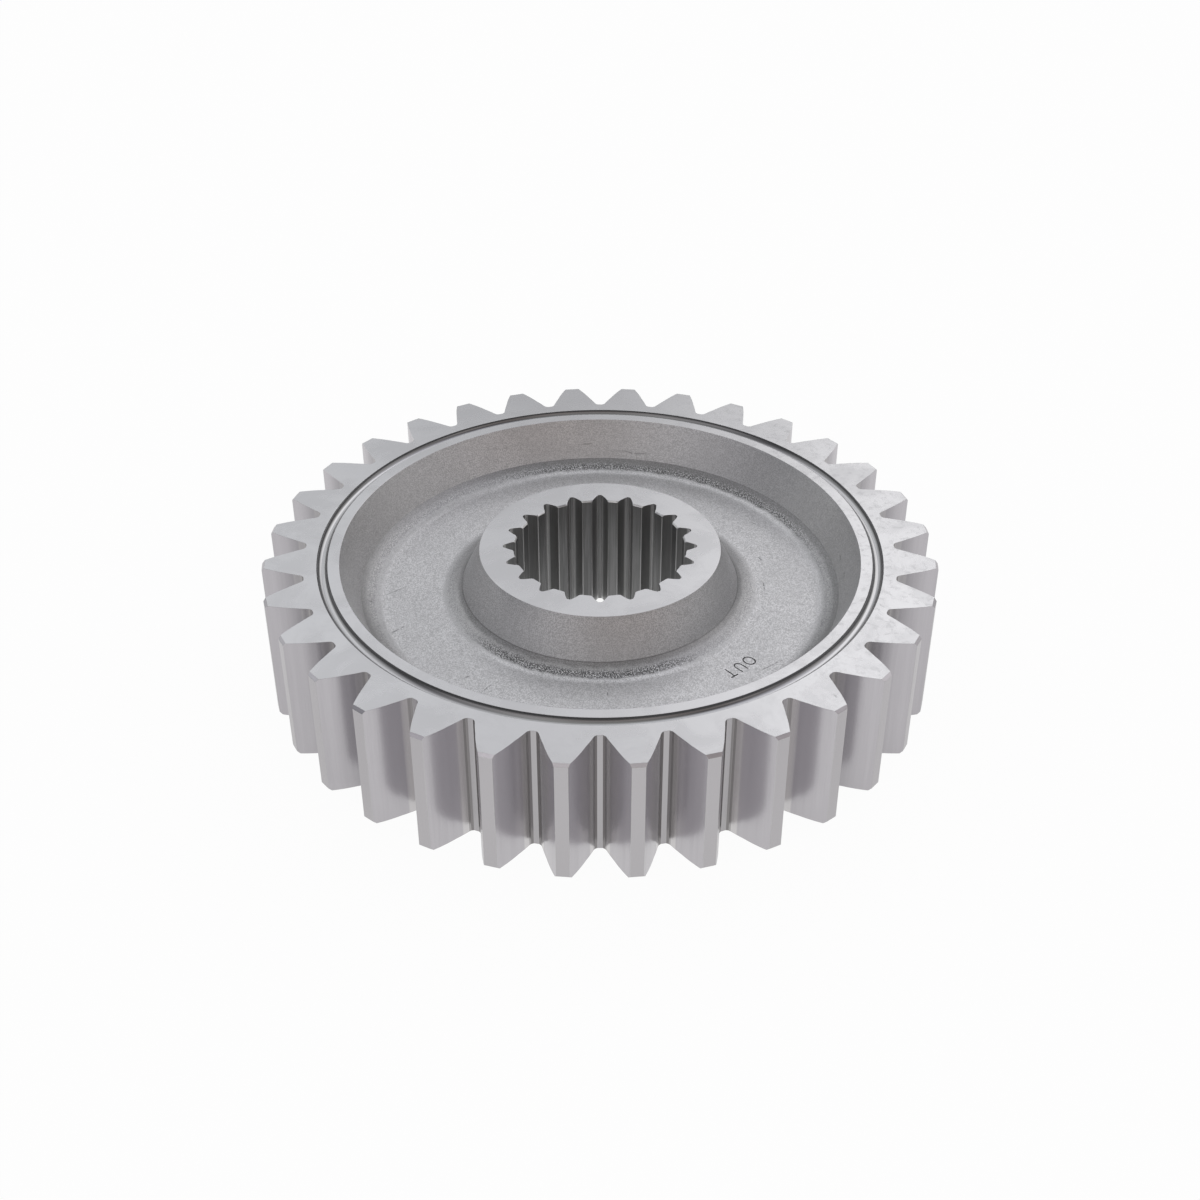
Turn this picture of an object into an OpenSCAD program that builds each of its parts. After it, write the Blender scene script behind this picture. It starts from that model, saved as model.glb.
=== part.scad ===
// Sun gear: one forged and machined steel wheel with straight outer teeth,
// a web dished from both faces and a splined bore through the hub.
// The axis is Z, the origin is on the axis in the lower face, and a tooth
// space and a spline groove both look towards -Y.

/* [Gear teeth] */
// Number of teeth
tooth_count = 32; // [28:1:36]
// Tooth module, the pitch diameter over the number of teeth
tooth_module = 5.5; // [5:0.25:6]
// Pressure angle of the flanks, in degrees
pressure_angle = 25; // [20:0.5:27]
// Height of a tooth above the pitch circle
addendum = 5.5; // [4.5:0.1:6]
// Depth of a tooth space below the pitch circle
dedendum = 5.9; // [5:0.1:6.5]
// Thickness of a tooth on the pitch circle beyond half the pitch
tooth_excess = 0.3; // [0:0.05:0.5]
// Radius of the fillet between a flank and the foot of the space
root_fillet = 1.5; // [0.6:0.1:1.8]
// Chamfer on the tips of the teeth at both faces
tip_chamfer = 0.8; // [0.3:0.1:1.5]

/* [Rim] */
// Width of the gear from face to face
face_width = 37; // [33:0.5:44]
// Thickness of the rim at the face, from the foot of the teeth to the recess
rim_wall = 9.8; // [8.5:0.1:12]
// Distance from the mouth of the recess to the middle of the face groove
groove_inset = 4.7; // [3:0.1:6]
// Radius of the round bottom of the face groove
groove_radius = 1.5; // [0.8:0.1:2]

/* [Web] */
// Depth of the turned walls of the recesses, down to the forged fillets
wall_depth = 11; // [9:0.1:12]
// Draft of the turned walls, in degrees
wall_draft = 25; // [5:0.5:30]
// Depth of the forged fillets, from the turned walls to the web
fillet_drop = 2.6; // [1.5:0.1:3]
// Radius of the forged fillet at the rim
rim_fillet = 11; // [5:0.5:14]
// Radius of the forged fillet at the hub
hub_fillet = 9.5; // [5:0.5:14]

/* [Hub] */
// Thickness of the hub at the face, outside the spline grooves
hub_wall = 6.6; // [5:0.1:9]
// Chamfer where the bore's lands meet each face
bore_chamfer = 0.4; // [0.2:0.1:1]

/* [Spline] */
// Number of spline grooves
spline_count = 20; // [18:1:24]
// Spline module
spline_module = 2.5; // [2.5:0.25:3]
// Pressure angle of the spline's flanks, in degrees
spline_angle = 30; // [25:1:32]
// How much narrower a groove is on the pitch circle than half the pitch
groove_narrowing = 0.35; // [0:0.05:0.5]
// Height of the lands inside the spline's pitch circle
land_height = 1.2; // [0.8:0.1:1.4]
// Depth of the grooves outside the spline's pitch circle
groove_depth = 2.1; // [1.6:0.05:2.2]
// Radius of the fillets at the bottom of a spline groove
spline_fillet = 0.6; // [0.3:0.05:0.7]

/* [Hidden] */

// Degrees in one radian, for arc lengths taken as angles
RADIAN = 180 / PI;
// The tool sweeps run this far past the faces and the tips they cut
OVERRUN = 1;
// Straight steps along a tooth's flank, along a spline flank and round a fillet
FLANK_STEPS = 6;
SPLINE_STEPS = 3;
FILLET_STEPS = 3;
WEB_FILLET_STEPS = 5;
// The direction that a tooth space and a spline groove look towards
FRONT = -90;
$fn = 192;

pitch_r = tooth_module * tooth_count / 2;
base_r = pitch_r * cos(pressure_angle);
tip_r = pitch_r + addendum;
root_r = pitch_r - dedendum;
recess_r = root_r - rim_wall;
groove_r = recess_r + groove_inset;
recess_depth = wall_depth + fillet_drop;

spline_pitch_r = spline_module * spline_count / 2;
spline_base_r = spline_pitch_r * cos(spline_angle);
land_r = spline_pitch_r - land_height;
spline_tip_r = spline_pitch_r + groove_depth;
hub_r = spline_tip_r + hub_wall;

// Involute function of an angle, in degrees
function inv(a) = tan(a) * RADIAN - a;
function polar(r, a) = [r * cos(a), r * sin(a)];
function reversed(points) = [for (i = [len(points) - 1:-1:0]) points[i]];
function mirrored(points) = [for (p = reversed(points)) [p.x, -p.y]];
function towards(from, to) = atan2(to.y - from.y, to.x - from.x);

// An involute form that is half_base degrees wide each side of its middle on
// the base circle, and how wide it is at radius r
function half_angle(half_base, base, r) = half_base - inv(acos(base / r));

// Points round a fillet, from the angle start to the angle end
function fillet(centre, r, start, end, steps = FILLET_STEPS) = [
    for (i = [0:steps]) centre + polar(r, start + (end - start) * i / steps)
];

// The tooth on its base circle, and the space between two teeth at radius r
tooth_half_base = 90 / tooth_count + tooth_excess / 2 / pitch_r * RADIAN + inv(pressure_angle);
function space_half(r) = 180 / tooth_count - half_angle(tooth_half_base, base_r, r);

// The fillet at a tooth's foot touches the root circle and the flank. A circle
// that touches an involute has its centre on a parallel involute.
foot_r = root_r + root_fillet;
foot_angle = 180 / tooth_count
    - half_angle(tooth_half_base + root_fillet / base_r * RADIAN, base_r, foot_r);
flank_r = norm([base_r, sqrt(foot_r * foot_r - base_r * base_r) - root_fillet]);

module tooth_space() {
    centre = polar(foot_r, foot_angle);
    flank_foot = polar(flank_r, space_half(flank_r));
    foot = fillet(centre, root_fillet, foot_angle + 180, towards(centre, flank_foot));
    step = (tip_r + OVERRUN - flank_r) / FLANK_STEPS;
    flank = [
        for (i = [1:FLANK_STEPS]) polar(flank_r + i * step, space_half(flank_r + i * step))
    ];
    side = concat(foot, flank);
    polygon(concat(side, mirrored(side)));
}

// A spline groove has the form of an outer tooth with a rounded tip
groove_half_base = 90 / spline_count - groove_narrowing / 2 / spline_pitch_r * RADIAN
    + inv(spline_angle);
function groove_half(r) = half_angle(groove_half_base, spline_base_r, r);
crown_r = spline_tip_r - spline_fillet;
crown_angle = half_angle(
    groove_half_base - spline_fillet / spline_base_r * RADIAN, spline_base_r, crown_r);
crown_flank_r = norm([
    spline_base_r,
    sqrt(crown_r * crown_r - spline_base_r * spline_base_r) + spline_fillet
]);

module spline_groove() {
    centre = polar(crown_r, crown_angle);
    flank_end = polar(crown_flank_r, groove_half(crown_flank_r));
    crown = fillet(centre, spline_fillet, towards(centre, flank_end), crown_angle);
    inner_r = land_r - land_height / 2;
    step = (crown_flank_r - inner_r) / SPLINE_STEPS;
    flank = [
        for (i = [0:SPLINE_STEPS - 1]) polar(inner_r + i * step, groove_half(inner_r + i * step))
    ];
    side = concat(flank, crown);
    polygon(concat(side, mirrored(side)));
}

// Everything that straight cutters leave, seen along the axis
module toothed_plan() {
    difference() {
        circle(r = tip_r + OVERRUN);
        for (i = [0:tooth_count - 1])
            rotate(FRONT + i * 360 / tooth_count)
                tooth_space();
        circle(r = land_r);
        for (i = [0:spline_count - 1])
            rotate(FRONT + i * 360 / spline_count)
                spline_groove();
    }
}

// Points from the web up a forged fillet of radius r to the foot of a turned
// wall. They are measured from the point of the web straight below that foot.
function web_corner(r) =
    let (reach = sqrt(fillet_drop * (2 * r - fillet_drop)))
    fillet([reach, r], r, 270, 180 + acos(reach / r), WEB_FILLET_STEPS);

// Half section of one recess, with the web at the height 0 and the mouth up
module recess_section() {
    slope = tan(wall_draft);
    hub_foot = hub_r + wall_depth * slope;
    rim_foot = recess_r - wall_depth * slope;
    mouth = wall_depth + OVERRUN;
    polygon(concat(
        [for (p = web_corner(hub_fillet)) [hub_foot + p.x, p.y]],
        [[hub_foot - mouth * slope, fillet_drop + mouth]],
        [[rim_foot + mouth * slope, fillet_drop + mouth]],
        [for (p = reversed(web_corner(rim_fillet))) [rim_foot - p.x, p.y]]
    ));
}

// Half section of the turned and forged blank
module blank_section() {
    bore_r = land_r - OVERRUN;
    bore_cut = bore_chamfer + OVERRUN;
    difference() {
        polygon([
            [bore_r, bore_cut],
            [bore_r + bore_cut, 0],
            [tip_r - tip_chamfer, 0],
            [tip_r, tip_chamfer],
            [tip_r, face_width - tip_chamfer],
            [tip_r - tip_chamfer, face_width],
            [bore_r + bore_cut, face_width],
            [bore_r, face_width - bore_cut]
        ]);
        translate([0, face_width - recess_depth])
            recess_section();
        translate([0, recess_depth])
            mirror([0, 1])
                recess_section();
        translate([groove_r, face_width])
            circle(r = groove_radius);
    }
}

module sun_gear() {
    color("lightsteelblue")
        intersection() {
            rotate_extrude()
                blank_section();
            translate([0, 0, -OVERRUN])
                linear_extrude(height = face_width + 2 * OVERRUN)
                    toothed_plan();
        }
}

sun_gear();
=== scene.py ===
"""The sun gear as it looks: ground and turned faces, hobbed teeth, a forged web and a broached bore."""
import math

import bmesh
import bpy
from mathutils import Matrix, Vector, noise


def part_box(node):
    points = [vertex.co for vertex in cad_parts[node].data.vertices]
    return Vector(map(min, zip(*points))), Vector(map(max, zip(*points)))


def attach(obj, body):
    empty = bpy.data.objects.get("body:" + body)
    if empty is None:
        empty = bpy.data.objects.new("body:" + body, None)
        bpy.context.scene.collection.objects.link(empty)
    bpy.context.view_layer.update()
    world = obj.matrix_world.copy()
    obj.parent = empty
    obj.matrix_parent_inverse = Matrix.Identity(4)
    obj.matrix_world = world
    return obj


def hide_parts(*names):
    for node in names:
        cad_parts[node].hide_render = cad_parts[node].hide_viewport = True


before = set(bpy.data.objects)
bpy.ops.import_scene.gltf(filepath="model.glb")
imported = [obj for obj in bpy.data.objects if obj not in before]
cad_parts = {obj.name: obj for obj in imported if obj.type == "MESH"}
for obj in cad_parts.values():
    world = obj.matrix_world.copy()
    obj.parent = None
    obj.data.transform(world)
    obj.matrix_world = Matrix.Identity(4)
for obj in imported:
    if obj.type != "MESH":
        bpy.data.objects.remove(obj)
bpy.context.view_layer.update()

# Everything below is in metres, on the gear's own axes
MM = 0.001
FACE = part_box("sun_gear")[1].z

# Gear teeth
TOOTH_COUNT = 32
PITCH_R = 88 * MM
TIP_R = 93.5 * MM
ROOT_R = 82.1 * MM
PRESSURE_ANGLE = math.radians(25)
TOOTH_EXCESS = 0.3 * MM
# The tight corner at a tooth's foot, as heights above the root circle and distances
# from the middle of the space. A nearly straight flank leads from it to the involute,
# and stands out by its bow at most.
FOOT_CORNER = ((0.0, 0.69 * MM), (0.36 * MM, 1.28 * MM), (0.86 * MM, 1.61 * MM))
FOOT_BOW = 0.05 * MM
INVOLUTE_START_R = 86.8 * MM
TIP_CHAMFER = 0.8 * MM

# Rim, web and hub
GROOVE_R = 77 * MM
GROOVE_DEPTH = 1.5 * MM
RECESS_R = 72.3 * MM
HUB_R = 33.7 * MM
WALL_DEPTH = 11 * MM
WALL_SLOPE = math.tan(math.radians(25))
FILLET_DROP = 2.6 * MM
RIM_FILLET = 11 * MM
HUB_FILLET = 9.5 * MM
RECESS_DEPTH = WALL_DEPTH + FILLET_DROP
# The feet of the turned walls, where the forged fillets start
RIM_FOOT_R = RECESS_R - WALL_DEPTH * WALL_SLOPE
HUB_FOOT_R = HUB_R + WALL_DEPTH * WALL_SLOPE

# Splined bore
GROOVE_COUNT = 20
SPLINE_PITCH_R = 25 * MM
SPLINE_ANGLE = math.radians(30)
LAND_R = 23.8 * MM
GROOVE_NARROWING = 0.35 * MM
CROWN_R = 27.1 * MM
CROWN_FILLET = 0.6 * MM
LAND_CHAMFER = 0.4 * MM
LAND_EDGE = 0.15 * MM

# The teeth and the spline start on these circles of the turned body
TOOTH_SEAT_R = 79.4 * MM
SPLINE_SEAT_R = 28.6 * MM
# Steps of the turned body, a multiple of both tooth counts
TURN_STEPS = 320
# Nearer than this, two points or two angles are one
TOUCH = 0.002 * MM
TOUCH_ANGLE = 1e-4
# Least turn of an edge that is deburred, and of one that stays sharp
DEBUR_ANGLE = math.radians(35)
CREASE_ANGLE = math.radians(13)
EDGE_BREAK = 0.05 * MM
# Least height of the normal of a level face, and of a face that leans
LEVEL = 0.9
LEANING = 0.3

# Forging swell of the web: bumps to the metre, their height, how much finer and lower the
# bumps laid over them are, and how far the whole is sunk, as a share of the height
WAVE_SCALE = 110
WAVE_HEIGHT = 0.09 * MM
WAVE_FINER = 2.7
WAVE_LOWER = 0.4
WAVE_SINK = 0.7

# Forging scale on the web's two fillets, and painted light on them. It starts at a radius and runs this
# way, outwards or inwards, to the wall. Distances are in mm from there. A pair is where a band begins
# to show and where it is full, and the line entry is the middle and half width of a painted highlight.
# The deep band is scale, with painted shade deepening it most about one azimuth, and the wall band
# is painted shade along the foot of the wall. The two azimuth entries are an azimuth, its reach in
# degrees, and what is left of the deep band and of the wall band further round; the painted
# highlight shows only about the first.
RIM_SCALE = {
    "start_r": 63.5 * MM,
    "way": 1.0,
    "dull": (-1.6, -0.3),
    "deep": (-0.5, 0.4),
    "deep_end": (3.0, 1.2),
    "wall": (1.2, 2.6),
    "painted_highlight": (-0.8, 1.3),
    "strongest": (68, 55, 0.35),
    "shaded": (55, 85, 0.5),
}
HUB_SCALE = {
    "start_r": 43.0 * MM,
    "way": -1.0,
    "dull": (-2.0, -0.6),
    "deep": (-0.4, 0.4),
    "deep_end": (3.0, 1.4),
    "wall": (2.2, 3.4),
    "painted_highlight": (-0.9, 1.1),
    "strongest": (-98, 50, 0.25),
    "shaded": (-120, 65, 0.4),
}
# Painted shade on the rim's fillet, laid as dull as its scale, about this azimuth, within this reach,
# and over this band
RIM_PAINTED_SHADE = (170, 55)
RIM_PAINTED_SHADE_BAND = (-2.4, -1.0)
RIM_PAINTED_SHADE_STRENGTH = 1.3

# Painted light in a tooth space: heights above the root circle, in mm, below which a tone begins to
# show and is full, and the tone itself. The lower flank gets a painted highlight, and the corner at
# the foot painted reflections, dark on its facets and less dark at the bottom.
LOWER_FLANK_HIGHLIGHT = (2.9, 2.4, (0.66, 0.645, 0.65))
CORNER_PAINTED_REFLECTIONS = (
    (0.95, 0.87, (0.43, 0.42, 0.42)),
    (0.44, 0.37, (0.27, 0.26, 0.26)),
    (0.05, 0.01, (0.46, 0.45, 0.46)),
)
# The flanks on the right and the left darken towards their foot with painted shade, about these
# azimuths
SIDE_AZIMUTHS = (0, 180)
SIDE_REACH = 60
SIDE_SHADE_TONE = (9, 1.2, (0.20, 0.195, 0.205))
SIDE_SHADE_STRENGTH = 0.55

# Handling has worn the rim's face about this azimuth, within this reach
HANDLED_AZIMUTH = 10
HANDLED_REACH = 75

# Stamped mark: its word, radius, azimuth of its middle, degrees from letter to letter
STAMP_WORD = "OUT"
STAMP_R = 52.7 * MM
STAMP_AZIMUTH = -45.3
STAMP_PITCH = 4.1
STAMP_HEIGHT = 4.0 * MM
STAMP_WIDTH = 0.75
STAMP_THINNING = -0.05 * MM
STAMP_DEPTH = 0.35 * MM
# Height of a capital letter of Blender's own font, as a share of its size
CAPITAL = 0.7

# Scratches and stains: x, y and angle from above, length and width, in mm and degrees
WEB_SCRATCHES = (
    (-58, -2.5, 38, 8, 0.5),
    (-64, -9, 0, 2, 0.8),
    (-56, -21.5, 44, 3, 0.7),
    (-54, -19.5, 44, 2, 0.6),
    (-35, -42, 26, 2, 0.7),
    (-29.5, -46.5, 52, 5, 0.6),
    (45.5, -37, 37, 11, 0.5),
    (46.5, 0, 95, 5, 0.6),
    (46, 33, -36, 3, 0.5),
    (46.5, 14, -53, 2.5, 0.7),
    (2, -49, 90, 1.5, 0.6),
)
WALL_SCRATCHES = (
    (68.4, 5.7, 86, 2.7, 0.5),
    (68.5, -2.6, 83, 2.7, 0.5),
    (-4, 68.9, 3, 4, 0.35),
    (10.9, 67.1, -10, 11, 0.35),
)
FACE_STAINS = (
    (74.5, -28.5, -45, 3, 0.8),
    (58, -67, -63, 2, 0.9),
    (73.5, 5.5, -52, 4, 0.6),
)

# Camera and floor
CAMERA_LENS = 50
CAMERA_SENSOR = 36
CAMERA_DISTANCE = 0.4763
CAMERA_ELEVATION = 35.28
FLOOR_SIZE = 8
FLOOR_DROP = 0.2 * MM
# Share of plain white in the floor as the camera sees it, and as metal mirrors it.
# The mirrored floor dims to a share of that between two distances to the right and left.
SEEN_GLOW = 0.96
MIRRORED_GLOW = 0.8
SIDE_DIMMING = 0.78
DIM_FROM = 35 * MM
DIM_TO = 105 * MM

# Soft light panels: azimuth from behind the gear to its right, elevation, spread, brightness.
# A panel is at full strength within this share of its spread.
PANEL_CORE = 0.25
PANELS = (
    (0, 48, 30, (0.52, 0.52, 0.55)),
    (24, 33, 24, (1.17, 1.16, 1.18)),
    (-24, 32, 26, (0.62, 0.63, 0.65)),
    (60, 25, 38, (0.66, 0.65, 0.65)),
    (-60, 25, 38, (0.73, 0.74, 0.75)),
    (180, 58, 34, (0.54, 0.53, 0.53)),
    (60, 62, 34, (0.64, 0.63, 0.70)),
    (-60, 62, 34, (0.34, 0.33, 0.36)),
    (-132, 50, 26, (0.50, 0.49, 0.50)),
    (0, 82, 32, (0.29, 0.31, 0.29)),
    (100, 22, 36, (0.53, 0.51, 0.52)),
    (-100, 22, 36, (0.19, 0.19, 0.21)),
    (140, 22, 34, (0.49, 0.44, 0.43)),
    (-140, 22, 34, (0.62, 0.60, 0.62)),
    (180, 25, 32, (0.42, 0.38, 0.37)),
)


def involute(angle):
    return math.tan(angle) - angle


def half_angle(half_base, base_r, r):
    """Half the angle that an involute form spans at radius r."""
    return half_base - involute(math.acos(base_r / r))


def polar(r, angle):
    return (r * math.cos(angle), r * math.sin(angle))


def arc(centre, r, start, end, steps):
    """Points round an arc in the plane, both ends included."""
    turn = (end - start) / steps
    return [
        (centre[0] + r * math.cos(start + i * turn), centre[1] + r * math.sin(start + i * turn))
        for i in range(steps + 1)
    ]


def bearing(centre, point):
    return math.atan2(point[1] - centre[1], point[0] - centre[0])


def rising(low, high, steps):
    return [low + (high - low) * i / steps for i in range(steps + 1)]


def bowed(start, end, bow, steps):
    """Points from start to end on a line that sags towards -Y by this bow in its middle."""
    shares = rising(0, 1, steps)
    return [
        (start[0] + (end[0] - start[0]) * share,
         start[1] + (end[1] - start[1]) * share - bow * 4 * share * (1 - share))
        for share in shares
    ]


def tooth_space_side():
    """One side of a tooth space about +X, from its middle out to the middle of the tooth."""
    base_r = PITCH_R * math.cos(PRESSURE_ANGLE)
    half_pitch = math.pi / TOOTH_COUNT
    half_base = half_pitch / 2 + TOOTH_EXCESS / 2 / PITCH_R + involute(PRESSURE_ANGLE)

    def flank_point(r):
        return polar(r, half_pitch - half_angle(half_base, base_r, r))

    corner = [(ROOT_R + height, off_middle) for height, off_middle in FOOT_CORNER]
    lower_flank = bowed(corner[-1], flank_point(INVOLUTE_START_R), FOOT_BOW, 6)
    flank = [flank_point(r) for r in rising(INVOLUTE_START_R, TIP_R, 9)]
    tip_angle = bearing((0, 0), flank[-1])
    tip = [polar(TIP_R, a) for a in rising(tip_angle, half_pitch, 2)[1:]]
    return [polar(ROOT_R, 0)] + corner + lower_flank[1:-1] + flank + tip


def spline_groove_side():
    """One side of a spline groove about +X, from its bottom in to the middle of the land."""
    base_r = SPLINE_PITCH_R * math.cos(SPLINE_ANGLE)
    half_pitch = math.pi / GROOVE_COUNT
    half_base = half_pitch / 2 - GROOVE_NARROWING / 2 / SPLINE_PITCH_R + involute(SPLINE_ANGLE)

    def flank_point(r):
        return polar(r, half_angle(half_base, base_r, r))

    crown_r = CROWN_R - CROWN_FILLET
    crown_angle = half_angle(half_base - CROWN_FILLET / base_r, base_r, crown_r)
    flank_r = math.hypot(base_r, math.sqrt(crown_r ** 2 - base_r ** 2) + CROWN_FILLET)
    centre = polar(crown_r, crown_angle)
    towards_flank = bearing(centre, flank_point(flank_r))
    crown = arc(centre, CROWN_FILLET, crown_angle, towards_flank, 6)
    flank = [flank_point(r) for r in rising(flank_r, LAND_R + LAND_EDGE, 6)[1:]]
    land_angle = half_angle(half_base, base_r, LAND_R) + LAND_EDGE / LAND_R
    land = [polar(LAND_R, a) for a in rising(land_angle, half_pitch, 3)]
    return [polar(CROWN_R, 0)] + crown + flank + land


def start_at(name, point):
    """A new mesh in edit mode that holds one vertex, at this point."""
    bpy.ops.object.select_all(action="DESELECT")
    bpy.ops.mesh.primitive_plane_add(size=MM)
    piece = bpy.context.object
    piece.name = name
    bpy.ops.object.mode_set(mode="EDIT")
    bpy.ops.mesh.select_mode(type="VERT")
    bpy.ops.mesh.select_all(action="SELECT")
    bpy.ops.mesh.merge(type="CENTER")
    bpy.ops.transform.translate(value=point)
    return piece


def draw_line(points):
    """Extrudes the selected vertex from point to point."""
    for here, there in zip(points, points[1:]):
        step = Vector(there) - Vector(here)
        bpy.ops.mesh.extrude_vertices_move(TRANSFORM_OT_translate={"value": step})


def pick(piece, kind, wanted):
    """Selects the edges or faces, in edit mode, for which wanted(element) is true."""
    bpy.ops.mesh.select_all(action="DESELECT")
    bpy.ops.mesh.select_mode(type="FACE" if kind == "faces" else "EDGE")
    shape = bmesh.from_edit_mesh(piece.data)
    for element in getattr(shape, kind):
        if wanted(element):
            element.select_set(True)
    shape.select_flush_mode()
    bmesh.update_edit_mesh(piece.data)


def cut_sector(name, side, seat_r, count, chamfer_r, chamfer, corner=0.0):
    """One sector of the teeth or the spline, from face to face, repeated round the axis.

    side is half of the sector's outline about +X. The outline is closed along the seat circle,
    filled, and extruded from the upper face down to the lower one.
    """
    half_pitch = math.pi / count
    turn = -math.pi / 2
    whole = [(x, -y) for x, y in reversed(side)] + side[1:]
    seat_steps = TURN_STEPS // count
    seat = [polar(seat_r, a) for a in rising(half_pitch, -half_pitch, seat_steps)]
    outline = [
        (x * math.cos(turn) - y * math.sin(turn), x * math.sin(turn) + y * math.cos(turn), FACE)
        for x, y in whole + seat
    ]
    piece = start_at(name, outline[0])
    draw_line(outline + outline[:1])
    bpy.ops.mesh.select_all(action="SELECT")
    bpy.ops.mesh.remove_doubles(threshold=TOUCH)
    bpy.ops.mesh.edge_face_add()
    bpy.ops.mesh.extrude_region_move(TRANSFORM_OT_translate={"value": (0, 0, -FACE)})

    def on_cut(face):
        """True on the sides that the next sector or the turned body meets."""
        if abs(face.normal.z) > 0.5:
            return False
        edge_angles = [abs(math.atan2(v.co.x, -v.co.y)) for v in face.verts]
        on_seat = all(abs(v.co.xy.length - seat_r) < TOUCH for v in face.verts)
        return on_seat or all(abs(a - half_pitch) < TOUCH_ANGLE for a in edge_angles)

    pick(piece, "faces", on_cut)
    bpy.ops.mesh.delete(type="FACE")

    def on_mouth(edge):
        """True on the edges where a face meets the tips or the lands."""
        level = abs(edge.verts[0].co.z - edge.verts[1].co.z) < TOUCH
        return level and all(abs(v.co.xy.length - chamfer_r) < corner + TOUCH for v in edge.verts)

    pick(piece, "edges", on_mouth)
    bpy.ops.mesh.bevel(offset=chamfer, segments=1, affect="EDGES", clamp_overlap=False)
    bpy.ops.mesh.select_all(action="SELECT")
    bpy.ops.mesh.spin(
        steps=count - 1, dupli=True, angle=2 * math.pi * (count - 1) / count,
        center=(0, 0, 0), axis=(0, 0, 1))
    bpy.ops.mesh.select_all(action="SELECT")
    bpy.ops.mesh.remove_doubles(threshold=TOUCH)
    bpy.ops.object.mode_set(mode="OBJECT")
    return piece


def web_corner(r):
    """Points of a forged fillet, from the web up to the foot of the turned wall."""
    reach = math.sqrt(FILLET_DROP * (2 * r - FILLET_DROP))
    return arc((reach, r), r, -math.pi / 2, math.acos(reach / r) - math.pi, 8)


def recess_line():
    """Half section of one recess from the rim to the hub, as (radius, depth below the face)."""
    rim = [(RIM_FOOT_R - x, RECESS_DEPTH - y) for x, y in reversed(web_corner(RIM_FILLET))]
    hub = [(HUB_FOOT_R + x, RECESS_DEPTH - y) for x, y in web_corner(HUB_FILLET)]
    web = [(r, RECESS_DEPTH) for r in rising(rim[-1][0], hub[0][0], 9)[1:-1]]
    rim_wall = [(RECESS_R - d * WALL_SLOPE, d) for d in rising(0, WALL_DEPTH, 6)[:-1]]
    hub_wall = [(HUB_R + d * WALL_SLOPE, d) for d in rising(WALL_DEPTH, 0, 6)[1:]]
    return rim_wall + rim + web + hub + hub_wall


def spin_body():
    """The turned and forged body between the teeth and the spline, one skin for each face."""
    groove = arc((GROOVE_R, 0), GROOVE_DEPTH, 0, math.pi, 16)
    upper = [(TOOTH_SEAT_R, 0)] + groove + recess_line() + [(SPLINE_SEAT_R, 0)]
    lower = [(TOOTH_SEAT_R, 0)] + recess_line() + [(SPLINE_SEAT_R, 0)]
    line_up = [(0, -r, FACE - depth) for r, depth in upper]
    line_down = [(0, -r, depth) for r, depth in lower]
    skins = []
    for name, line in (("upper_skin", line_up), ("lower_skin", line_down)):
        skin = start_at(name, line[0])
        draw_line(line)
        bpy.ops.mesh.select_all(action="SELECT")
        bpy.ops.mesh.spin(
            steps=TURN_STEPS, angle=2 * math.pi, use_auto_merge=True,
            center=(0, 0, 0), axis=(0, 0, 1))
        bpy.ops.mesh.select_all(action="SELECT")
        bpy.ops.mesh.remove_doubles(threshold=TOUCH)
        bpy.ops.object.mode_set(mode="OBJECT")
        skins.append(skin)
    return skins


def join_all(pieces, name):
    bpy.ops.object.select_all(action="DESELECT")
    for piece in pieces:
        piece.select_set(True)
    bpy.context.view_layer.objects.active = pieces[0]
    bpy.ops.object.join()
    whole = bpy.context.object
    whole.name = name
    bpy.ops.object.mode_set(mode="EDIT")
    bpy.ops.mesh.select_all(action="SELECT")
    bpy.ops.mesh.remove_doubles(threshold=TOUCH)
    bpy.ops.mesh.normals_make_consistent(inside=False)
    bpy.ops.object.mode_set(mode="OBJECT")
    return whole


def build_gear():
    teeth = cut_sector(
        "tooth_ring", tooth_space_side(), TOOTH_SEAT_R, TOOTH_COUNT, TIP_R, TIP_CHAMFER)
    spline = cut_sector(
        "spline_ring", spline_groove_side(), SPLINE_SEAT_R, GROOVE_COUNT, LAND_R, LAND_CHAMFER,
        LAND_EDGE)
    return join_all([teeth, spline] + spin_body(), "gear_body")


def apply_modifiers(piece):
    bpy.ops.object.select_all(action="DESELECT")
    piece.select_set(True)
    bpy.context.view_layer.objects.active = piece
    for modifier in list(piece.modifiers):
        bpy.ops.object.modifier_apply(modifier=modifier.name)


def forge_waviness(piece):
    """Sinks the forged web and its fillets unevenly, as a die leaves them."""
    web_top = FACE - RECESS_DEPTH
    for vertex in piece.data.vertices:
        r = vertex.co.xy.length
        rise = min(abs(vertex.co.z - web_top), abs(vertex.co.z - RECESS_DEPTH))
        if HUB_FOOT_R + TOUCH < r < RIM_FOOT_R - TOUCH and rise < FILLET_DROP:
            place = vertex.co * WAVE_SCALE
            swell = noise.noise(place) + WAVE_LOWER * noise.noise(place * WAVE_FINER)
            side = 1 if vertex.co.z > FACE / 2 else -1
            vertex.co.z += side * WAVE_HEIGHT * (swell - WAVE_SINK)


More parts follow.
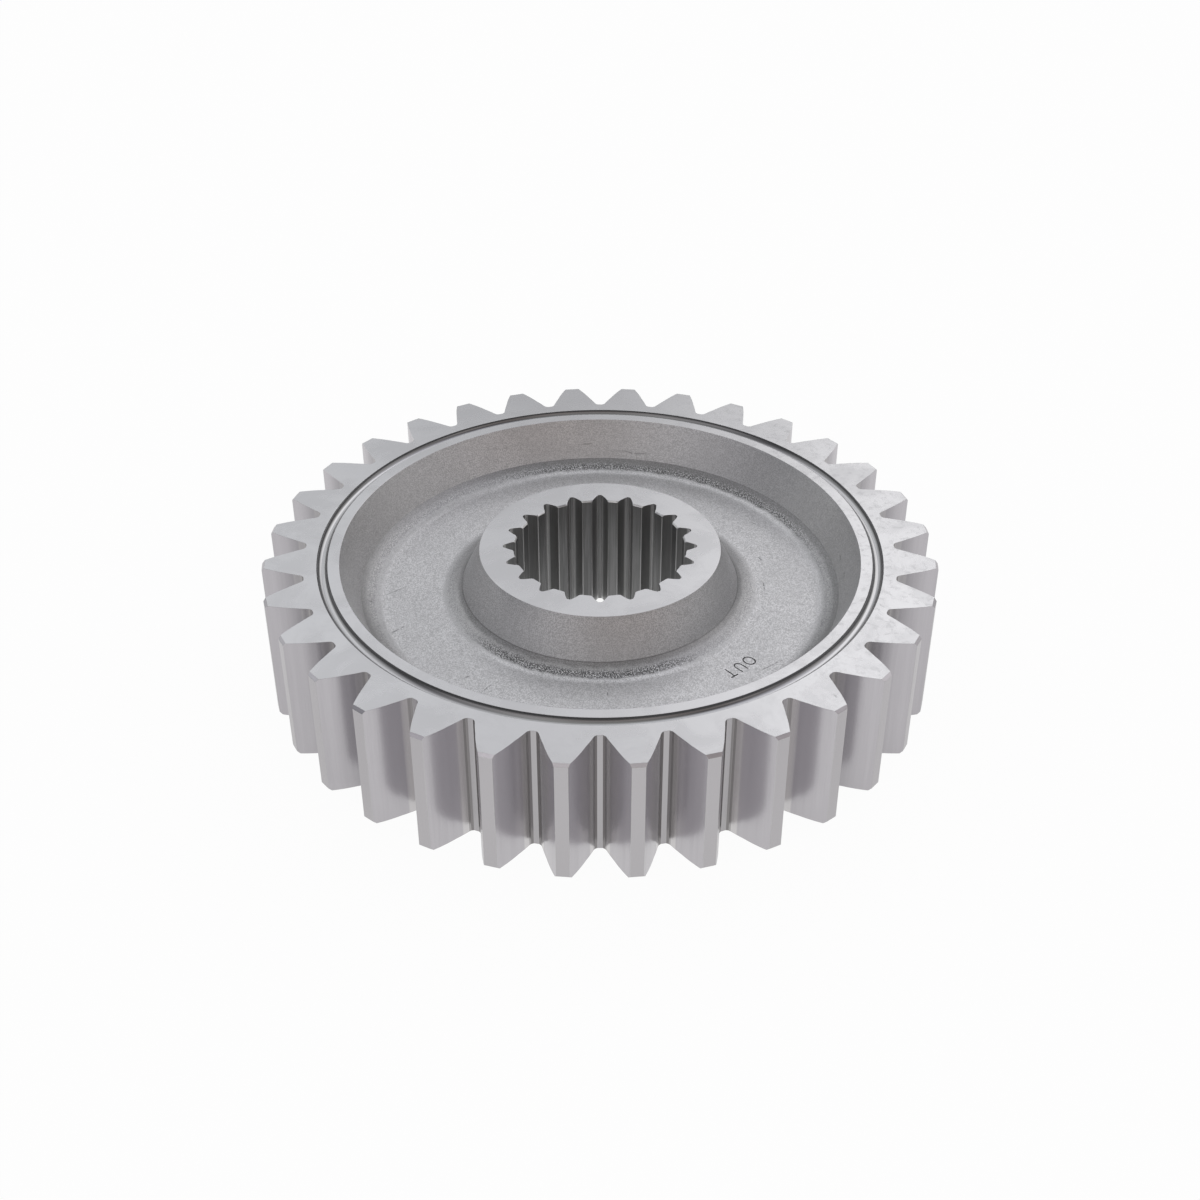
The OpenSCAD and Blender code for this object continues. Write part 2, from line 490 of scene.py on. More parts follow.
def shade_regions(piece, finishes):
    """Gives each face the finish of the cutter or die that made it."""
    order = list(finishes)
    for name in order:
        piece.data.materials.append(finishes[name])
    for face in piece.data.polygons:
        r = Vector(face.center).xy.length
        rise = abs(face.normal.z)
        if r > TOOTH_SEAT_R and rise < LEVEL:
            region = "tooth_flank"
        elif r < LAND_R + LAND_CHAMFER and LEANING < rise < LEVEL:
            region = "broken_edge"
        elif LAND_R + 10 * TOUCH < r < LAND_R + LAND_EDGE and rise < LEVEL:
            region = "plain_land_edge"
        elif r < SPLINE_SEAT_R and rise < LEVEL:
            region = "broached_spline"
        elif HUB_FOOT_R < r < RIM_FOOT_R:
            region = "forged_web"
        elif HUB_R < r < RECESS_R:
            region = "turned_wall"
        elif abs(r - GROOVE_R) < GROOVE_DEPTH and face.center.z > FACE / 2:
            region = "turned_groove"
        else:
            region = "ground_face"
        face.material_index = order.index(region)


def break_edges(piece, edge_index):
    """Rounds the sharp edges as a deburring wheel does."""
    bevel = piece.modifiers.new("edge_break", "BEVEL")
    bevel.limit_method = "ANGLE"
    bevel.angle_limit = DEBUR_ANGLE
    bevel.width = EDGE_BREAK
    bevel.segments = 2
    bevel.use_clamp_overlap = False
    bevel.material = edge_index
    apply_modifiers(piece)


def shade_smooth(piece):
    """Shades the curved surfaces smooth, with the larger faces setting the light."""
    bpy.ops.object.select_all(action="DESELECT")
    piece.select_set(True)
    bpy.context.view_layer.objects.active = piece
    bpy.ops.object.shade_smooth_by_angle(angle=CREASE_ANGLE)
    weights = piece.modifiers.new("face_weights", "WEIGHTED_NORMAL")
    weights.keep_sharp = True
    apply_modifiers(piece)


def stamp_side_mark(piece, finish_index):
    """Stamps the fitting mark into the web, which says which side of the gear faces out."""
    cutters = []
    middle = (len(STAMP_WORD) - 1) / 2
    for place, letter in enumerate(STAMP_WORD):
        angle = math.radians(STAMP_AZIMUTH - (place - middle) * STAMP_PITCH)
        bpy.ops.object.select_all(action="DESELECT")
        bpy.ops.object.text_add()
        cutter = bpy.context.object
        cutter.name = "stamp_" + letter
        cutter.data.body = letter
        cutter.data.size = STAMP_HEIGHT / CAPITAL
        cutter.data.align_x = "CENTER"
        cutter.data.align_y = "CENTER"
        cutter.data.extrude = STAMP_DEPTH
        cutter.data.offset = STAMP_THINNING
        cutter.scale.x = STAMP_WIDTH
        cutter.location = polar(STAMP_R, angle) + (FACE - RECESS_DEPTH,)
        cutter.rotation_euler = (0, 0, angle - math.pi / 2)
        bpy.ops.object.convert(target="MESH")
        bpy.ops.object.transform_apply(location=True, rotation=True, scale=True)
        cutters.append(bpy.context.object)
    stamp = join_all(cutters, "stamp")
    for finish in piece.data.materials:
        stamp.data.materials.append(finish)
    for face in stamp.data.polygons:
        face.material_index = finish_index
    cut = piece.modifiers.new("stamp", "BOOLEAN")
    cut.operation = "DIFFERENCE"
    cut.solver = "MANIFOLD"
    cut.object = stamp
    apply_modifiers(piece)
    bpy.data.objects.remove(stamp)


def new_group(name, inputs, outputs):
    """A shader node group with these inputs (name, kind, value) and value outputs."""
    group = bpy.data.node_groups.new(name, "ShaderNodeTree")
    for label, kind, value in inputs:
        socket = group.interface.new_socket(label, in_out="INPUT", socket_type="NodeSocket" + kind)
        if value is not None:
            socket.default_value = value
    for label in outputs:
        group.interface.new_socket(label, in_out="OUTPUT", socket_type="NodeSocketFloat")
    start = group.nodes.new("NodeGroupInput")
    end = group.nodes.new("NodeGroupOutput")
    return group, start, end


class Nodes:
    """A short way to add and link nodes in one tree."""

    def __init__(self, tree):
        self.tree = tree

    def add(self, kind, *sources, **settings):
        """A node whose inputs, in order, are linked to sockets or set to values."""
        node = self.tree.nodes.new("ShaderNode" + kind)
        for name, value in settings.items():
            setattr(node, name, value)
        for socket, source in zip(node.inputs, sources):
            if isinstance(source, bpy.types.NodeSocket):
                self.tree.links.new(source, socket)
            elif source is not None:
                socket.default_value = source
        return node

    def link(self, source, target):
        self.tree.links.new(source, target)

    def math(self, operation, *sources):
        return self.add("Math", *sources, operation=operation).outputs[0]

    def ramp(self, value, low, high, start=0.0, end=1.0):
        """Runs smoothly from start to end while the value goes from low to high."""
        node = self.add(
            "MapRange", value, low, high, start, end, interpolation_type="SMOOTHSTEP")
        return node.outputs[0]

    def noise(self, place, size, detail=2.0, roughness=0.5, distortion=0.0):
        """Noise with features of about this size, in metres."""
        node = self.add("TexNoise")
        self.link(place, node.inputs["Vector"])
        node.inputs["Scale"].default_value = 1 / size
        node.inputs["Detail"].default_value = detail
        node.inputs["Roughness"].default_value = roughness
        node.inputs["Distortion"].default_value = distortion
        return node.outputs[0]

    def from_axis(self, place):
        """The vector from the gear's axis to a place."""
        return self.add("VectorMath", place, (1.0, 1.0, 0.0), operation="MULTIPLY").outputs[0]

    def radius(self, place):
        """How far a place is from the gear's axis."""
        arm = self.from_axis(place)
        return self.add("VectorMath", arm, operation="LENGTH").outputs["Value"]

    def upper_side(self, place):
        """One in the upper half of the gear, and zero in its lower half."""
        height = self.add("SeparateXYZ", place).outputs[2]
        return self.ramp(height, FACE / 2 - MM, FACE / 2 + MM)

    def near_azimuth(self, place, azimuth, reach):
        """One on this azimuth, and zero further round the axis than reach, in degrees."""
        arm = self.from_axis(place)
        outward = self.add("VectorMath", arm, operation="NORMALIZE").outputs[0]
        middle = polar(1, math.radians(azimuth)) + (0.0,)
        closeness = self.add("VectorMath", outward, middle, operation="DOT_PRODUCT")
        far = math.cos(math.radians(reach))
        near = math.cos(math.radians(reach / 2))
        return self.ramp(closeness.outputs["Value"], far, near)

    def mix(self, factor, first, second):
        """Blends two colours or colour sockets."""
        node = self.add("Mix", data_type="RGBA")
        for socket, source in zip((node.inputs[0], node.inputs[6], node.inputs[7]),
                                  (factor, first, second)):
            if isinstance(source, bpy.types.NodeSocket):
                self.link(source, socket)
            else:
                socket.default_value = source
        return node.outputs[2]

    def lay(self, tone, mask, strength, colour):
        """Lays a colour over a tone through a mask, at this strength."""
        return self.mix(self.math("MULTIPLY", mask, strength), tone, colour)

    def greatest(self, *masks):
        """The greatest of several masks at each place."""
        upper = masks[0]
        for mask in masks[1:]:
            upper = self.math("MAXIMUM", upper, mask)
        return upper

    def group(self, group, **inputs):
        node = self.tree.nodes.new("ShaderNodeGroup")
        node.node_tree = group
        for name, source in inputs.items():
            socket = node.inputs[name.replace("_", " ").title()]
            if isinstance(source, bpy.types.NodeSocket):
                self.link(source, socket)
            else:
                socket.default_value = source
        return node.outputs


def grain_group():
    """Fine pits and specks left by shot blasting and by the forging die."""
    group, start, end = new_group(
        "blasted_grain", [("Vector", "Vector", None), ("Speck", "Float", 0.0)],
        ["Tone", "Height"])
    n = Nodes(group)
    fine = n.noise(start.outputs["Vector"], 0.27 * MM, 1.0, 0.5)
    coarse = n.noise(start.outputs["Vector"], 1.4 * MM, 2.0, 0.5)
    pits = n.add("TexVoronoi", feature="F1")
    n.link(start.outputs["Vector"], pits.inputs["Vector"])
    pits.inputs["Scale"].default_value = 1 / (0.45 * MM)
    pit = n.ramp(pits.outputs["Distance"], 0.12, 0.34)
    blend = n.math("ADD", n.math("MULTIPLY", fine, 0.85), n.math("MULTIPLY", coarse, 0.15))
    tone = n.ramp(blend, 0.40, 0.60)
    speckled = n.math("MULTIPLY", tone, n.math("SUBTRACT", 1.0, n.math(
        "MULTIPLY", n.math("SUBTRACT", 1.0, pit), start.outputs["Speck"])))
    n.link(speckled, end.inputs["Tone"])
    n.link(n.math("ADD", n.math("MULTIPLY", blend, 0.7), n.math("MULTIPLY", pit, 0.3)),
           end.inputs["Height"])
    return group


def turning_group():
    """Feed marks of a lathe or face grinder: fine uneven rings about the axis."""
    group, start, end = new_group(
        "turning_lines", [("Vector", "Vector", None), ("Pitch", "Float", 0.2 * MM)],
        ["Tone", "Height"])
    n = Nodes(group)
    radius = n.radius(start.outputs["Vector"])
    height = n.add("SeparateXYZ", start.outputs["Vector"]).outputs[2]
    slant = n.math("ADD", radius, n.math("MULTIPLY", height, 0.9))
    feed = n.math("DIVIDE", slant, start.outputs["Pitch"])
    rings = n.add("TexNoise", noise_dimensions="1D")
    n.link(feed, rings.inputs["W"])
    rings.inputs["Scale"].default_value = 1.0
    rings.inputs["Detail"].default_value = 3.0
    rings.inputs["Roughness"].default_value = 0.7
    n.link(n.ramp(rings.outputs[0], 0.3, 0.7), end.inputs["Tone"])
    n.link(rings.outputs[0], end.inputs["Height"])
    return group


def axial_group():
    """Straight drag lines along the axis, as a hob's finishing cut and a broach leave them."""
    group, start, end = new_group(
        "axial_lines", [("Vector", "Vector", None)], ["Tone", "Height"])
    n = Nodes(group)
    drawn_out = n.add("VectorMath", start.outputs["Vector"], operation="MULTIPLY")
    drawn_out.inputs[1].default_value = (1.0, 1.0, 0.02)
    fine = n.noise(drawn_out.outputs[0], 0.22 * MM, 2.0, 0.6)
    broad = n.noise(drawn_out.outputs[0], 1.6 * MM, 2.0, 0.5)
    blend = n.math("ADD", n.math("MULTIPLY", fine, 0.5), n.math("MULTIPLY", broad, 0.5))
    n.link(n.ramp(blend, 0.35, 0.65), end.inputs["Tone"])
    n.link(blend, end.inputs["Height"])
    return group


def handling_group():
    """Clouds of oil and hand marks."""
    group, start, end = new_group("handling_marks", [("Vector", "Vector", None)], ["Cloud"])
    n = Nodes(group)
    clouds = n.noise(start.outputs["Vector"], 14 * MM, 4.0, 0.62, 0.6)
    n.link(n.ramp(clouds, 0.36, 0.68), end.inputs["Cloud"])
    return group


def scratch_group():
    """One scratch on an upper surface: a thin line at its own place, angle and length."""
    group, start, end = new_group(
        "scratch_mark",
        [("Vector", "Vector", None), ("Middle", "Vector", (0, 0, 0)), ("Turn", "Float", 0.0),
         ("Half Length", "Float", MM), ("Half Width", "Float", 0.2 * MM)],
        ["Mask"])
    n = Nodes(group)
    wobble = n.add("TexNoise")
    n.link(start.outputs["Vector"], wobble.inputs["Vector"])
    wobble.inputs["Scale"].default_value = 1 / (2.5 * MM)
    shake = n.add("VectorMath", wobble.outputs["Color"], operation="SUBTRACT")
    shake.inputs[1].default_value = (0.5, 0.5, 0.5)
    small = n.add("VectorMath", shake.outputs[0], operation="SCALE")
    small.inputs["Scale"].default_value = 0.6 * MM
    shaken = n.add("VectorMath", start.outputs["Vector"], small.outputs[0], operation="ADD")
    about = n.add("VectorMath", shaken.outputs[0], start.outputs["Middle"], operation="SUBTRACT")
    turned = n.add("VectorRotate", rotation_type="Z_AXIS")
    n.link(about.outputs[0], turned.inputs["Vector"])
    n.link(n.math("MULTIPLY", start.outputs["Turn"], -1.0), turned.inputs["Angle"])
    xyz = n.add("SeparateXYZ", turned.outputs[0])
    along = n.add("MapRange", n.math("ABSOLUTE", xyz.outputs[0]), 0.0,
                  start.outputs["Half Length"], 1.6, 0.0)
    across = n.add("MapRange", n.math("ABSOLUTE", xyz.outputs[1]), 0.0,
                   start.outputs["Half Width"], 1.0, 0.0, interpolation_type="SMOOTHSTEP")
    broken = n.ramp(n.noise(start.outputs["Vector"], 0.8 * MM, 1.0), 0.3, 0.5)
    line = n.math("MULTIPLY", n.math("MINIMUM", along.outputs[0], 1.0), across.outputs[0])
    n.link(n.math("MULTIPLY", line, broken), end.inputs["Mask"])
    return group


def steel(name):
    """A new metal material, its nodes, its shader and the place of the point shaded."""
    material = bpy.data.materials.new(name)
    material.use_nodes = True
    shader = material.node_tree.nodes["Principled BSDF"]
    shader.inputs["Metallic"].default_value = 1.0
    n = Nodes(material.node_tree)
    place = n.add("TexCoord").outputs["Object"]
    return material, n, shader, place


def add_bump(n, shader, height, strength, depth):
    bump = n.add("Bump")
    bump.inputs["Strength"].default_value = strength
    bump.inputs["Distance"].default_value = depth
    n.link(height, bump.inputs["Height"])
    n.link(bump.outputs[0], shader.inputs["Normal"])


def all_marks(n, group, place, marks):
    """The mask of every scratch in a list, on the upper side of the gear."""
    lines = [
        n.group(
            group, vector=place, middle=(x * MM, y * MM, 0), turn=math.radians(degrees),
            half_length=length / 2 * MM, half_width=width / 2 * MM)["Mask"]
        for x, y, degrees, length, width in marks
    ]
    return n.math("MULTIPLY", n.greatest(*lines), n.upper_side(place))


def grey(value):
    """The linear colour of a plain grey of this brightness."""
    return (value, value, value, 1.0)


def ground_face_finish(turning, handling, scratch):
    """Ground faces of rim and hub, with faint rings, clouds of oil, stains and a worn stretch."""
    material, n, shader, place = steel("ground_face")
    rings = n.group(turning, vector=place, pitch=0.35 * MM)
    marks = n.group(handling, vector=place)
    stains = all_marks(n, scratch, place, FACE_STAINS)
    on_rim = n.ramp(n.radius(place), 60 * MM, 75 * MM)
    handled = n.math("MULTIPLY", on_rim, n.near_azimuth(place, HANDLED_AZIMUTH, HANDLED_REACH))
    blotches = n.ramp(n.noise(place, 2.2 * MM, 4.0, 0.75, 0.4), 0.50, 0.66)
    worn = n.math("MULTIPLY", handled, blotches)
    tone = n.mix(marks["Cloud"], grey(0.58), grey(0.55))
    tone = n.lay(tone, rings["Tone"], 0.05, grey(0.50))
    tone = n.lay(tone, worn, 0.45, grey(0.44))
    tone = n.lay(tone, stains, 0.5, grey(0.22))
    n.link(tone, shader.inputs["Base Color"])
    rough = n.ramp(marks["Cloud"], 0.0, 1.0, 0.24, 0.29)
    n.link(n.math("ADD", rough, n.math("MULTIPLY", worn, 0.05)), shader.inputs["Roughness"])
    return material


def turned_wall_finish(turning, grain, scratch):
    """Turned walls of the recesses: feed rings under a blasted grain, and a few scratches."""
    material, n, shader, place = steel("turned_wall")
    rings = n.group(turning, vector=place, pitch=0.5 * MM)
    specks = n.group(grain, vector=place, speck=0.2)
    large = n.ramp(n.noise(place, 18 * MM, 3.0, 0.5), 0.35, 0.65)
    tone = n.mix(specks["Tone"], grey(0.45), grey(0.68))
    tone = n.lay(tone, rings["Tone"], 0.18, grey(0.41))
    tone = n.lay(tone, large, 0.3, grey(0.47))
    tone = n.lay(tone, all_marks(n, scratch, place, WALL_SCRATCHES), 0.6, grey(0.18))
    n.link(tone, shader.inputs["Base Color"])
    n.link(n.ramp(specks["Tone"], 0.0, 1.0, 0.5, 0.4), shader.inputs["Roughness"])
    height = n.math("ADD", n.math("MULTIPLY", rings["Height"], 0.5), specks["Height"])
    add_bump(n, shader, height, 0.25, 0.03 * MM)
    return material


def fillet_scale_masks(n, place, radius, scale):
    """Masks on one fillet: dull scale, deep scale with painted shade, painted shade along the wall, and
    a painted highlight line.
    """
    past_start = n.math("MULTIPLY", n.math("SUBTRACT", radius, scale["start_r"]), scale["way"])

    def band(name):
        begins, full = scale[name]
        return n.ramp(past_start, begins * MM, full * MM)

    def round_axis(azimuth, reach, rest):
        near = n.near_azimuth(place, azimuth, reach)
        return near, n.math("MULTIPLY_ADD", near, 1 - rest, rest)

    near_strongest, strongest = round_axis(*scale["strongest"])
    shaded = round_axis(*scale["shaded"])[1]
    deep = n.math("MULTIPLY", n.math("MULTIPLY", band("deep"), band("deep_end")), strongest)
    wall = n.math("MULTIPLY", band("wall"), shaded)
    middle, half_width = scale["painted_highlight"]
    off_line = n.math("ABSOLUTE", n.math("SUBTRACT", past_start, middle * MM))
    line = n.ramp(off_line, half_width * MM, 0.1 * MM)
    return band("dull"), deep, wall, n.math("MULTIPLY", line, near_strongest)


def forging_scale_masks(n, place):
    """The same masks for both fillets of the web together, from a slightly wandering edge, with painted
    shade on the rim's fillet merged into the dull mask.
    """
    wander = n.math("SUBTRACT", n.noise(place, 4 * MM, 3.0, 0.6), 0.5)
    radius = n.math("ADD", n.radius(place), n.math("MULTIPLY", wander, 1.6 * MM))
    rim_masks = fillet_scale_masks(n, place, radius, RIM_SCALE)
    hub_masks = fillet_scale_masks(n, place, radius, HUB_SCALE)
    dull, deep, wall, painted_highlight = [n.greatest(*pair) for pair in zip(rim_masks, hub_masks)]
    # Painted shade on the rim's fillet about its left side, merged into the dull mask
    begins, full = [RIM_SCALE["start_r"] + edge * MM for edge in RIM_PAINTED_SHADE_BAND]
    painted_rim_shade = n.math("MULTIPLY", n.near_azimuth(place, *RIM_PAINTED_SHADE), n.ramp(radius, begins, full))
    return n.greatest(dull, n.math("MULTIPLY", painted_rim_shade, RIM_PAINTED_SHADE_STRENGTH)), deep, wall, painted_highlight


def forged_web_finish(grain, scratch):
    """The forged web: blasted grain, with scale on its fillets that is chipped where it is deep,
    painted shade along the walls, in the fillets and in the hub's crease, and a painted highlight on
    the fillets.
    """
    material, n, shader, place = steel("forged_web")
    specks = n.group(grain, vector=place, speck=0.35)
    chips = n.noise(place, 0.28 * MM, 1.0, 0.5)
    large = n.ramp(n.noise(place, 16 * MM, 3.0, 0.5), 0.35, 0.65)
    dull, deep, wall, painted_highlight = forging_scale_masks(n, place)
    pitted = n.math(
        "MULTIPLY", n.greatest(deep, n.math("MULTIPLY", wall, 0.4)), n.ramp(chips, 0.46, 0.53))
    flaked = n.math("MULTIPLY", deep, n.ramp(chips, 0.44, 0.37))
    bright = n.math("MULTIPLY", painted_highlight, n.ramp(chips, 0.36, 0.56))
    hub_crease = n.ramp(n.radius(place), HUB_FOOT_R + 0.40 * MM, HUB_FOOT_R + 0.10 * MM)
    marks = all_marks(n, scratch, place, WEB_SCRATCHES)
    tone = n.mix(specks["Tone"], grey(0.46), grey(0.67))
    tone = n.lay(tone, large, 0.2, grey(0.50))
    # Dull scale on the fillets, and painted shade on the rim's fillet at its left
    tone = n.lay(tone, dull, 0.45, grey(0.33))
    # Painted shade along the foot of each wall
    tone = n.lay(tone, wall, 0.5, grey(0.18))
    # Scale in the deep band, darkened further by painted shade
    tone = n.lay(tone, deep, 0.35, grey(0.16))
    tone = n.lay(tone, pitted, 0.85, grey(0.08))
    tone = n.lay(tone, flaked, 0.65, grey(0.85))
    # Painted highlight along the fillets
    tone = n.lay(tone, bright, 0.7, grey(0.88))
    # Painted shade in the crease at the foot of the hub's wall
    tone = n.lay(tone, hub_crease, 0.4, grey(0.12))
    tone = n.lay(tone, marks, 0.75, grey(0.10))
    n.link(tone, shader.inputs["Base Color"])
    n.link(n.ramp(specks["Tone"], 0.0, 1.0, 0.56, 0.42), shader.inputs["Roughness"])
    height = n.math("SUBTRACT", specks["Height"], n.math("MULTIPLY", marks, 0.8))
    height = n.math("SUBTRACT", height, n.math("MULTIPLY", pitted, 0.5))
    add_bump(n, shader, height, 0.4, 0.06 * MM)
    return material


def tooth_flank_finish(axial, handling):
    """Hobbed flanks, tips and feet of the teeth, with painted light towards the foot: a painted
    highlight on the lower flank, painted shade at the sides and painted reflections on the corner.
    """
    material, n, shader, place = steel("tooth_flank")
    lines = n.group(axial, vector=place)
    marks = n.group(handling, vector=place)
    radius = n.radius(place)

    def towards_foot(tone, band, strength=1.0):
        begins, full, colour = band
        mask = n.ramp(radius, ROOT_R + begins * MM, ROOT_R + full * MM)
        return n.lay(tone, mask, strength, colour + (1.0,))

    tone = n.mix(lines["Tone"], (0.525, 0.510, 0.532, 1.0), (0.553, 0.538, 0.560, 1.0))
    tone = n.lay(tone, marks["Cloud"], 0.15, (0.510, 0.496, 0.517, 1.0))
    tip = n.ramp(radius, TIP_R - 0.10 * MM, TIP_R - 0.04 * MM)
    tone = n.mix(tip, tone, (0.50, 0.487, 0.50, 1.0))
    # Painted highlight on the lower flank
    tone = towards_foot(tone, LOWER_FLANK_HIGHLIGHT)
    # Painted shade at the foot of the flanks on the right and the left
    at_sides = n.greatest(*[n.near_azimuth(place, side, SIDE_REACH) for side in SIDE_AZIMUTHS])
    side_shade = n.math("MULTIPLY", at_sides, SIDE_SHADE_STRENGTH)
    tone = towards_foot(tone, SIDE_SHADE_TONE, side_shade)
    # Painted reflections on the corner at the foot: dark on its facets, less dark at the bottom
    for band in CORNER_PAINTED_REFLECTIONS:
        tone = towards_foot(tone, band)
    n.link(tone, shader.inputs["Base Color"])
    n.link(n.ramp(lines["Tone"], 0.0, 1.0, 0.26, 0.24), shader.inputs["Roughness"])
    return material


def spline_finish(axial):
    """The broached bore, darkened by painted shade, most on the lands and along the bottom of each
    groove, with a painted highlight beside that bottom.
    """
    material, n, shader, place = steel("broached_spline")
    lines = n.group(axial, vector=place)
    radius = n.radius(place)
    # Painted shade: the whole bore is darker than the steel elsewhere
    tone = n.mix(lines["Tone"], grey(0.27), grey(0.33))
    # Painted highlight beside the bottom of each groove
    crown = n.ramp(radius, CROWN_R - 0.85 * MM, CROWN_R - 0.55 * MM)
    tone = n.mix(crown, tone, grey(0.68))
    # Painted shade along the very bottom of each groove
    bottom = n.ramp(radius, CROWN_R - 0.14 * MM, CROWN_R - 0.04 * MM)
    tone = n.mix(bottom, tone, grey(0.24))
    # Painted shade, darkest, on the lands
    land = n.ramp(radius, LAND_R + 0.6 * LAND_EDGE, LAND_R + 0.3 * LAND_EDGE)
    tone = n.mix(land, tone, n.mix(lines["Tone"], grey(0.18), grey(0.26)))
    n.link(tone, shader.inputs["Base Color"])
    n.link(n.ramp(lines["Tone"], 0.0, 1.0, 0.54, 0.46), shader.inputs["Roughness"])
    add_bump(n, shader, lines["Height"], 0.15, 0.02 * MM)
    return material


def groove_finish(turning):
    """The turned groove in the rim's face, lighter at its bottom and darkened up its sides by painted
    shade.
    """
    material, n, shader, place = steel("turned_groove")
    rings = n.group(turning, vector=place, pitch=0.25 * MM)
    off_middle = n.math("ABSOLUTE", n.math("SUBTRACT", n.radius(place), GROOVE_R))
    # Painted shade up the sides of the groove
    side = n.ramp(off_middle, 0.3 * GROOVE_DEPTH, 0.75 * GROOVE_DEPTH)
    bottom = n.mix(rings["Tone"], grey(0.44), grey(0.51))
    n.link(n.mix(side, bottom, grey(0.22)), shader.inputs["Base Color"])
    shader.inputs["Roughness"].default_value = 0.22
    add_bump(n, shader, rings["Height"], 0.1, 0.005 * MM)
    return material


def plain_land_edge_finish():
    """The edges of the spline's lands, at a plain steel tone that shows them as light lines against the
    bore's painted shade.
    """
    material, _, shader, _ = steel("plain_land_edge")
    shader.inputs["Base Color"].default_value = grey(0.50)
    shader.inputs["Roughness"].default_value = 0.5
    return material


def broken_edge_finish(handling):
    """The thin rounds that a deburring wheel leaves, and the chamfers of the bore."""
    material, n, shader, place = steel("broken_edge")
    marks = n.group(handling, vector=place)
    n.link(n.mix(marks["Cloud"], grey(0.56), grey(0.48)), shader.inputs["Base Color"])
    n.link(n.ramp(marks["Cloud"], 0.0, 1.0, 0.2, 0.34), shader.inputs["Roughness"])
    return material


def stamp_finish(grain):
    """The stamped letters, in a dark tone."""
    material, n, shader, place = steel("stamped_mark")
    specks = n.group(grain, vector=place, speck=0.2)
    n.link(n.mix(specks["Tone"], grey(0.14), grey(0.24)), shader.inputs["Base Color"])
    n.link(n.ramp(specks["Tone"], 0.0, 1.0, 0.6, 0.45), shader.inputs["Roughness"])
    add_bump(n, shader, specks["Height"], 0.3, 0.03 * MM)
    return material


def make_finishes():
    grain = grain_group()
    turning = turning_group()
    axial = axial_group()
    handling = handling_group()
    scratch = scratch_group()
    return {
        "ground_face": ground_face_finish(turning, handling, scratch),
        "turned_wall": turned_wall_finish(turning, grain, scratch),
        "forged_web": forged_web_finish(grain, scratch),
        "tooth_flank": tooth_flank_finish(axial, handling),
        "broached_spline": spline_finish(axial),
        "turned_groove": groove_finish(turning),
        "broken_edge": broken_edge_finish(handling),
        "plain_land_edge": plain_land_edge_finish(),
        "stamped_mark": stamp_finish(grain),
    }


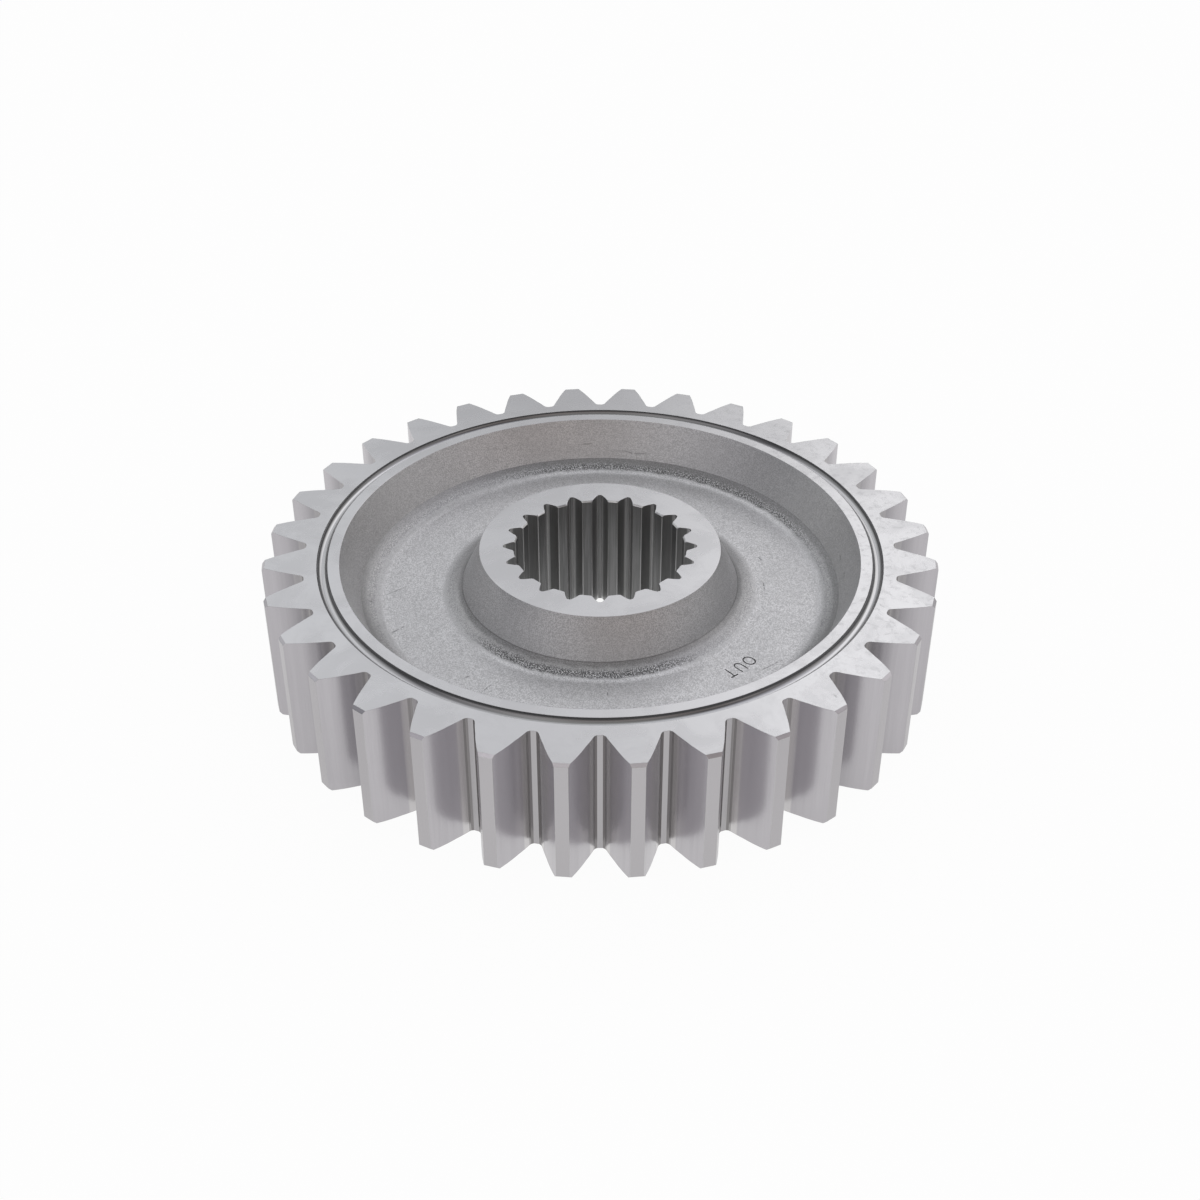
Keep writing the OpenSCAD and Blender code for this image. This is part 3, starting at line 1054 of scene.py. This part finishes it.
def make_floor():
    """A pale floor that takes the gear's shadow and glows for the camera and in the metal."""
    bpy.ops.object.select_all(action="DESELECT")
    bpy.ops.mesh.primitive_plane_add(size=FLOOR_SIZE, location=(0, 0, -FLOOR_DROP))
    bpy.ops.object.transform_apply(location=True, rotation=True, scale=True)
    floor = bpy.context.object
    floor.name = "floor"
    material = bpy.data.materials.new("pale_floor")
    material.use_nodes = True
    tree = material.node_tree
    tree.nodes.clear()
    n = Nodes(tree)
    paper = n.add("BsdfDiffuse", (0.86, 0.845, 0.84, 1.0))
    white = n.add("Emission", (1.0, 1.0, 1.0, 1.0), 1.0)
    path = n.add("LightPath").outputs
    reflected = n.math("MAXIMUM", path["Is Glossy Ray"], path["Is Transmission Ray"])
    place = n.add("TexCoord").outputs["Object"]
    off_middle = n.math("ABSOLUTE", n.add("SeparateXYZ", place).outputs[0])
    dimming = n.ramp(off_middle, DIM_FROM, DIM_TO, 1.0, SIDE_DIMMING)
    mirrored = n.math("MULTIPLY", reflected, dimming)
    glow = n.greatest(
        n.math("MULTIPLY", path["Is Camera Ray"], SEEN_GLOW),
        n.math("MULTIPLY", mirrored, MIRRORED_GLOW))
    mixed = n.add("MixShader", glow, paper.outputs[0], white.outputs[0])
    n.link(mixed.outputs[0], n.add("OutputMaterial").inputs["Surface"])
    floor.data.materials.append(material)


def make_world():
    """A light tent: soft panels all round the gear, and plain white behind it for the camera."""
    world = bpy.data.worlds.new("studio")
    bpy.context.scene.world = world
    world.use_nodes = True
    tree = world.node_tree
    tree.nodes.clear()
    n = Nodes(tree)
    towards = n.add("TexCoord").outputs["Generated"]
    light = (0.0, 0.0, 0.0)
    for azimuth, elevation, spread, colour in PANELS:
        turn = math.radians(azimuth)
        rise = math.radians(elevation)
        middle = (
            math.sin(turn) * math.cos(rise), math.cos(turn) * math.cos(rise), math.sin(rise))
        nearness = n.add("VectorMath", towards, middle, operation="DOT_PRODUCT").outputs["Value"]
        edge = math.cos(math.radians(spread))
        core = math.cos(math.radians(spread * PANEL_CORE))
        glow = n.ramp(nearness, edge, core)
        light = n.add("VectorMath", glow, colour, light, operation="MULTIPLY_ADD").outputs[0]
    camera = n.add("LightPath").outputs["Is Camera Ray"]
    backdrop = n.mix(camera, light, (1.0, 1.0, 1.0, 1.0))
    n.link(n.add("Background", backdrop, 1.0).outputs[0], n.add("OutputWorld").inputs["Surface"])


def make_camera():
    """The camera in front of the gear, looking down at the middle of it."""
    data = bpy.data.cameras.new("camera")
    data.lens = CAMERA_LENS
    data.sensor_width = CAMERA_SENSOR
    camera = bpy.data.objects.new("camera", data)
    target = Vector((0, 0, FACE / 2))
    rise = math.radians(CAMERA_ELEVATION)
    towards = Vector((0, -math.cos(rise), math.sin(rise)))
    camera.location = target + towards * CAMERA_DISTANCE
    camera.rotation_euler = (-towards).to_track_quat("-Z", "Y").to_euler()
    bpy.context.scene.collection.objects.link(camera)
    bpy.context.scene.camera = camera


finishes = make_finishes()
finish_names = list(finishes)
gear = build_gear()
shade_regions(gear, finishes)
break_edges(gear, finish_names.index("broken_edge"))
forge_waviness(gear)
stamp_side_mark(gear, finish_names.index("stamped_mark"))
shade_smooth(gear)
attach(gear, "root")
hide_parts("sun_gear")

make_floor()
make_world()
make_camera()
bpy.context.scene.view_settings.view_transform = "Standard"
